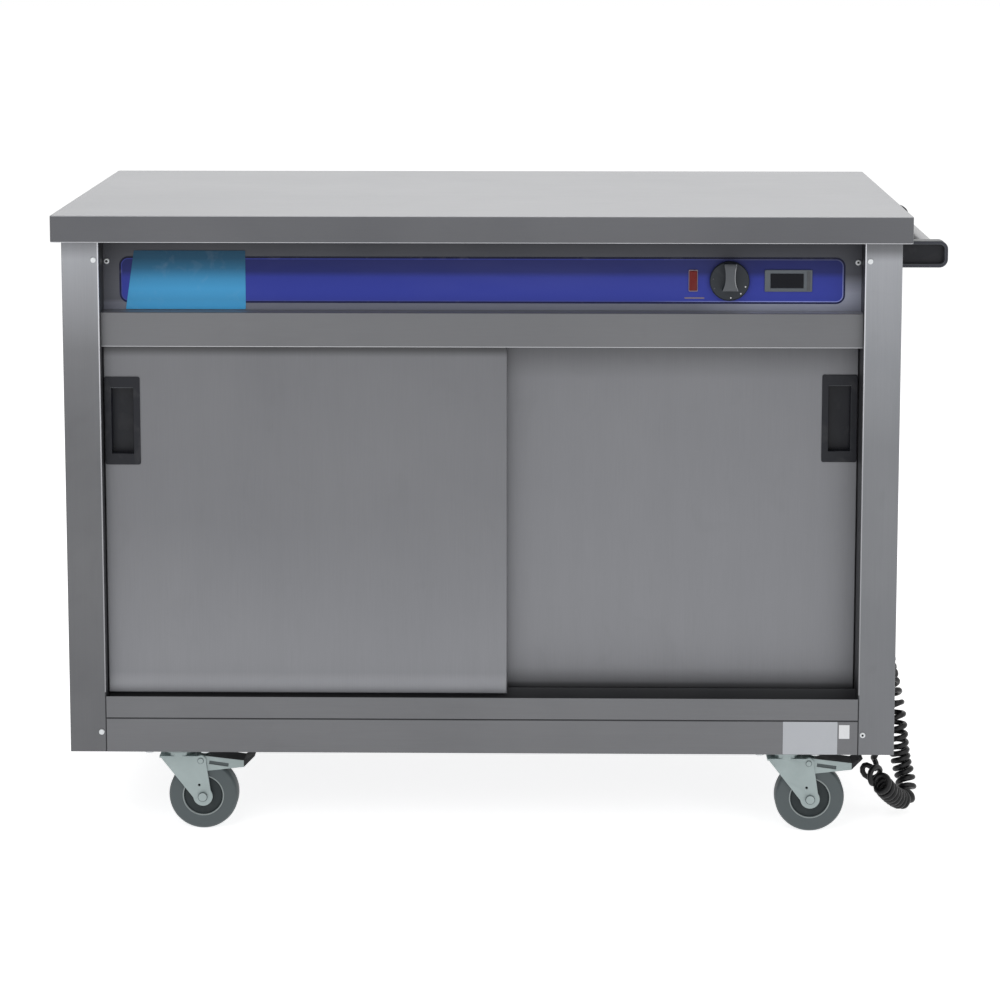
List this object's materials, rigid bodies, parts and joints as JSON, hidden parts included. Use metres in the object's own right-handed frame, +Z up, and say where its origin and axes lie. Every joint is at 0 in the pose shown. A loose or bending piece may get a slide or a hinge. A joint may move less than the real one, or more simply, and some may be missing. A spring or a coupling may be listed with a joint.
{
  "type": "hot cupboard",
  "caption": "Mobile stainless steel hot cupboard with sliding doors, a thermostat panel, a side push handle, braked swivel castors and a curly mains lead.",
  "frame": {"origin": "floor below the middle of the box that holds the cupboard and its push handle", "axes": "+Z up, +Y from the door side to the back, +X to the right as seen from the doors"},
  "size_m": [1.26, 0.66, 0.9],
  "materials": {
    "worktop_steel": "satin stainless with a grain along the width",
    "body_steel": "satin stainless",
    "door_steel": "satin stainless with a dull grain",
    "inner_steel": "plain mill finish",
    "blue_film": "smooth printed film",
    "mineral_wool": "loose wool slab",
    "element_steel": "dark oxidised sheath",
    "control_plastic": "moulded",
    "red_lens": "clear red lens, unlit",
    "display_plastic": "moulded bezel",
    "white_nylon": "moulded",
    "bar_metal": "satin tube",
    "black_plastic": "fine texture",
    "knob_plastic": "moulded",
    "zinc": "bright zinc plate",
    "cord_rubber": "dull sheath",
    "tyre_rubber": "grey non-marking tread",
    "hub_plastic": "moulded"
  },
  "bodies": {
    "cabinet": {"worktop": "worktop_steel", "left_end_panel": "body_steel", "right_end_panel": "body_steel", "back_panel": "inner_steel", "base_tray": "inner_steel", "plinth": "body_steel", "door_sill": "body_steel", "door_header": "body_steel", "control_fascia": "body_steel", "fascia_overlay": "blue_film", "door_track": "inner_steel", "cavity_left_wall": "inner_steel", "cavity_right_wall": "inner_steel", "cavity_back_wall": "inner_steel", "cavity_ceiling": "inner_steel", "cavity_floor": "inner_steel", "mid_shelf": "inner_steel", "shelf_rails": "inner_steel", "insulation": "mineral_wool", "heating_elements": "element_steel", "thermostat": "control_plastic", "indicator_lamp": "red_lens", "temperature_display": "display_plastic", "terminal_block": "white_nylon", "handle_bar": "bar_metal", "handle_brackets": "black_plastic", "fixings": "zinc", "castor_plates": "zinc", "cable_gland": "black_plastic", "curly_cord": "cord_rubber", "mains_plug": "black_plastic", "plug_holder": "black_plastic"},
    "left_door": {"left_door_panel": "door_steel", "left_door_liner": "inner_steel", "left_door_pull": "black_plastic", "left_door_hangers": "inner_steel"},
    "left_door_roller_1": {"left_door_roller_1": "white_nylon"},
    "left_door_roller_2": {"left_door_roller_2": "white_nylon"},
    "right_door": {"right_door_panel": "door_steel", "right_door_liner": "inner_steel", "right_door_pull": "black_plastic", "right_door_hangers": "inner_steel"},
    "right_door_roller_1": {"right_door_roller_1": "white_nylon"},
    "right_door_roller_2": {"right_door_roller_2": "white_nylon"},
    "knob": {"thermostat_knob": "knob_plastic", "thermostat_spindle": "zinc"},
    "front_left_castor": {"front_left_fork": "zinc"},
    "front_left_wheel": {"front_left_tyre": "tyre_rubber", "front_left_hub": "hub_plastic"},
    "front_left_brake": {"front_left_pedal": "zinc"},
    "front_right_castor": {"front_right_fork": "zinc"},
    "front_right_wheel": {"front_right_tyre": "tyre_rubber", "front_right_hub": "hub_plastic"},
    "front_right_brake": {"front_right_pedal": "zinc"},
    "rear_left_castor": {"rear_left_fork": "zinc"},
    "rear_left_wheel": {"rear_left_tyre": "tyre_rubber", "rear_left_hub": "hub_plastic"},
    "rear_right_castor": {"rear_right_fork": "zinc"},
    "rear_right_wheel": {"rear_right_tyre": "tyre_rubber", "rear_right_hub": "hub_plastic"}
  },
  "joints": [
    {"name": "left_door_slide", "type": "slide", "parent": "cabinet", "child": "left_door", "axis": [1, 0, 0], "range_m": [0, 0.49]},
    {"name": "left_door_roller_1_turn", "type": "hinge", "parent": "left_door", "child": "left_door_roller_1", "pos_m": [-0.484, -0.28, 0.7433], "axis": [0, 1, 0], "continuous": true},
    {"name": "left_door_roller_2_turn", "type": "hinge", "parent": "left_door", "child": "left_door_roller_2", "pos_m": [-0.074, -0.28, 0.7433], "axis": [0, 1, 0], "continuous": true},
    {"name": "right_door_slide", "type": "slide", "parent": "cabinet", "child": "right_door", "axis": [1, 0, 0], "range_m": [-0.49, 0]},
    {"name": "right_door_roller_1_turn", "type": "hinge", "parent": "right_door", "child": "right_door_roller_1", "pos_m": [0.014, -0.247, 0.7433], "axis": [0, 1, 0], "continuous": true},
    {"name": "right_door_roller_2_turn", "type": "hinge", "parent": "right_door", "child": "right_door_roller_2", "pos_m": [0.424, -0.247, 0.7433], "axis": [0, 1, 0], "continuous": true},
    {"name": "knob_turn", "type": "hinge", "parent": "cabinet", "child": "knob", "pos_m": [0.319, -0.272, 0.803], "axis": [0, 1, 0], "range_deg": [0, 270]},
    {"name": "front_left_swivel", "type": "hinge", "parent": "cabinet", "child": "front_left_castor", "pos_m": [-0.468, -0.255, 0.118], "axis": [0, 0, 1], "continuous": true},
    {"name": "front_left_roll", "type": "hinge", "parent": "front_left_castor", "child": "front_left_wheel", "pos_m": [-0.4335, -0.255, 0.05], "axis": [0, 1, 0], "continuous": true},
    {"name": "front_left_brake_press", "type": "hinge", "parent": "front_left_castor", "child": "front_left_brake", "pos_m": [-0.436, -0.255, 0.103], "axis": [0, 1, 0], "range_deg": [0, 12]},
    {"name": "front_right_swivel", "type": "hinge", "parent": "cabinet", "child": "front_right_castor", "pos_m": [0.408, -0.255, 0.118], "axis": [0, 0, 1], "continuous": true},
    {"name": "front_right_roll", "type": "hinge", "parent": "front_right_castor", "child": "front_right_wheel", "pos_m": [0.4425, -0.255, 0.05], "axis": [0, 1, 0], "continuous": true},
    {"name": "front_right_brake_press", "type": "hinge", "parent": "front_right_castor", "child": "front_right_brake", "pos_m": [0.44, -0.255, 0.103], "axis": [0, 1, 0], "range_deg": [0, 12]},
    {"name": "rear_left_swivel", "type": "hinge", "parent": "cabinet", "child": "rear_left_castor", "pos_m": [-0.468, 0.255, 0.118], "axis": [0, 0, 1], "continuous": true},
    {"name": "rear_left_roll", "type": "hinge", "parent": "rear_left_castor", "child": "rear_left_wheel", "pos_m": [-0.4335, 0.255, 0.05], "axis": [0, 1, 0], "continuous": true},
    {"name": "rear_right_swivel", "type": "hinge", "parent": "cabinet", "child": "rear_right_castor", "pos_m": [0.408, 0.255, 0.118], "axis": [0, 0, 1], "continuous": true},
    {"name": "rear_right_roll", "type": "hinge", "parent": "rear_right_castor", "child": "rear_right_wheel", "pos_m": [0.4425, 0.255, 0.05], "axis": [0, 1, 0], "continuous": true}
  ],
  "couplings": [
    {"joint": "left_door_roller_1_turn", "follows": "left_door_slide", "rad_per_m": 125},
    {"joint": "left_door_roller_2_turn", "follows": "left_door_slide", "rad_per_m": 125},
    {"joint": "right_door_roller_1_turn", "follows": "right_door_slide", "rad_per_m": 125},
    {"joint": "right_door_roller_2_turn", "follows": "right_door_slide", "rad_per_m": 125}
  ]
}
